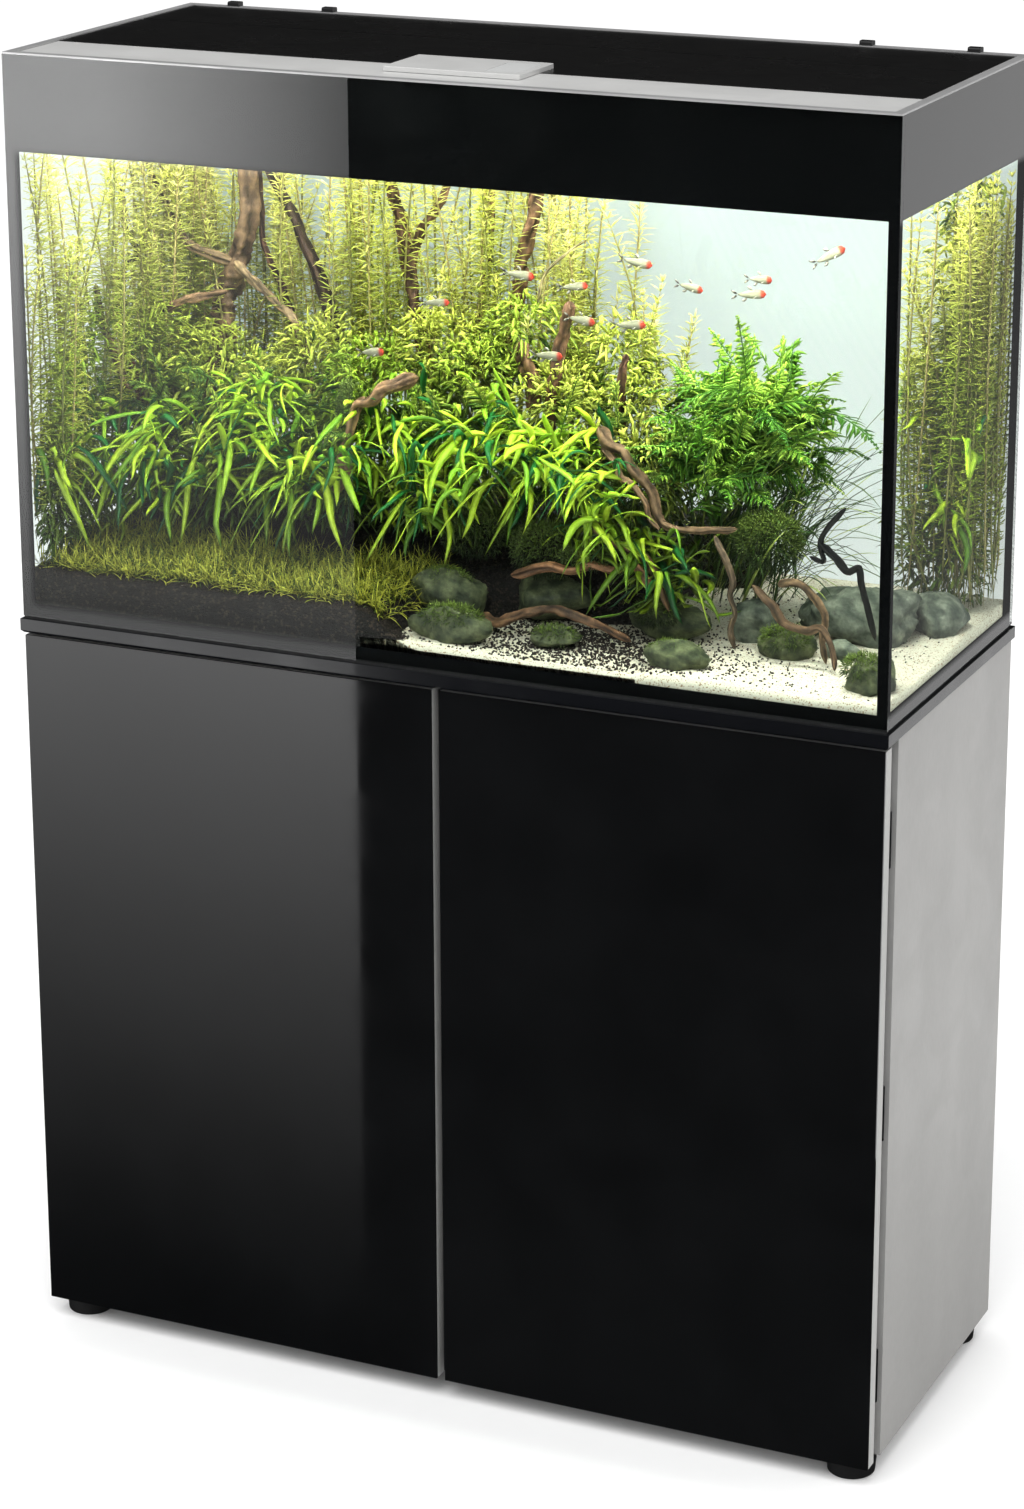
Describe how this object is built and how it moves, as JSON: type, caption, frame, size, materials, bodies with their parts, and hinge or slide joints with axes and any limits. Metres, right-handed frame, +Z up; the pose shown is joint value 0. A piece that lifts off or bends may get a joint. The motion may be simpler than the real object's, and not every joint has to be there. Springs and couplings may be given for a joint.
{
  "type": "aquarium on stand",
  "caption": "Rectangular planted aquarium with a hinged cover and light bar, standing on a cabinet with push-to-open doors.",
  "frame": {"origin": "on the floor, under the centre of the object", "axes": "+Z up, +X to the viewer's right when facing the doors, -Y towards the viewer"},
  "size_m": [1.006, 0.416, 1.469],
  "materials": {
    "side_laminate": "satin warm grey laminate",
    "carcass_black": "satin black laminate",
    "top_board": "satin black laminate with chamfered lower edge",
    "door_gloss": "high gloss black sheet",
    "door_core": "light grey edge band",
    "hinge_steel": "blackened steel",
    "latch_plastic": "moulded",
    "latch_plunger": "moulded",
    "bumper_rubber": "translucent grey",
    "foot_plastic": "moulded grey",
    "foam": "closed-cell foam",
    "tank_glass": "float glass, polished edges",
    "border_print": "black print behind glass",
    "silicone": "black silicone",
    "background": "frosted film",
    "rail_aluminium": "anodised",
    "bar_aluminium": "matte silver",
    "handle_pad": "satin silver",
    "lamp": "lit lamp tube",
    "socket_plastic": "moulded",
    "cover_black": "satin gloss black",
    "clip_plastic": "moulded",
    "soil": "fired planting soil granules",
    "sand": "fine pale sand",
    "stone": "grey-green river stone with algae",
    "wood": "waterlogged driftwood",
    "leaf": "living plants"
  },
  "bodies": {
    "cabinet": {"back_glass": "tank_glass", "back_panel": "carcass_black", "background_film": "background", "base_panel": "carcass_black", "bottom_glass": "tank_glass", "carpet_plants": "leaf", "centre_divider": "carcass_black", "corner_plants": "leaf", "cover_rails_cross": "rail_aluminium", "cover_rails_side": "rail_aluminium", "driftwood": "wood", "feet": "foot_plastic", "fern_plants": "leaf", "foam_mat": "foam", "frame_rail_bottom": "carcass_black", "frame_rail_top": "carcass_black", "frame_stile_centre": "carcass_black", "frame_stile_left": "carcass_black", "frame_stile_right": "carcass_black", "front_border_print": "border_print", "front_glass": "tank_glass", "glass_braces": "tank_glass", "grass_plants": "leaf", "hinge_leaves_fixed": "hinge_steel", "hinge_pins": "hinge_steel", "latch_bodies": "latch_plastic", "led_tubes": "lamp", "lid_hinge_pin": "hinge_steel", "light_bar": "bar_aluminium", "rear_clips": "clip_plastic", "rear_cover": "cover_black", "rear_top_rail": "carcass_black", "sand_bed": "sand", "shelf_brackets": "latch_plastic", "shelf_right": "carcass_black", "side_border_prints": "border_print", "side_glass_left": "tank_glass", "side_glass_right": "tank_glass", "side_panel_left": "side_laminate", "side_panel_right": "side_laminate", "silicone_seams": "silicone", "soil_bed": "soil", "stem_plants": "leaf", "stones": "stone", "top_board": "top_board", "tube_sockets": "socket_plastic"},
    "door_left": {"door_board_left": "door_core", "door_front_left": "door_gloss", "door_bumpers_left": "bumper_rubber", "hinge_leaves_left": "hinge_steel"},
    "door_right": {"door_board_right": "door_core", "door_front_right": "door_gloss", "door_bumpers_right": "bumper_rubber", "hinge_leaves_right": "hinge_steel"},
    "plunger_left": {"latch_plunger_left": "latch_plunger"},
    "plunger_right": {"latch_plunger_right": "latch_plunger"},
    "lid": {"lid_flap": "cover_black", "lid_handle": "bar_aluminium", "handle_pad": "handle_pad"}
  },
  "joints": [
    {"name": "door_left_hinge", "type": "hinge", "parent": "cabinet", "child": "door_left", "pos_m": [-0.4962, -0.182, 0.422], "axis": [0, 0, -1], "range_deg": [0, 110]},
    {"name": "door_right_hinge", "type": "hinge", "parent": "cabinet", "child": "door_right", "pos_m": [0.4962, -0.182, 0.422], "axis": [0, 0, 1], "range_deg": [0, 110]},
    {"name": "latch_left_push", "type": "slide", "parent": "cabinet", "child": "plunger_left", "axis": [0, 1, 0], "range_m": [0, 0.0018], "stiffness_N_per_m": 300, "springref_m": -0.01},
    {"name": "latch_right_push", "type": "slide", "parent": "cabinet", "child": "plunger_right", "axis": [0, 1, 0], "range_m": [0, 0.0018], "stiffness_N_per_m": 300, "springref_m": -0.01},
    {"name": "lid_hinge", "type": "hinge", "parent": "cabinet", "child": "lid", "pos_m": [0, 0.075, 1.46], "axis": [-1, 0, 0], "range_deg": [0, 85]}
  ]
}
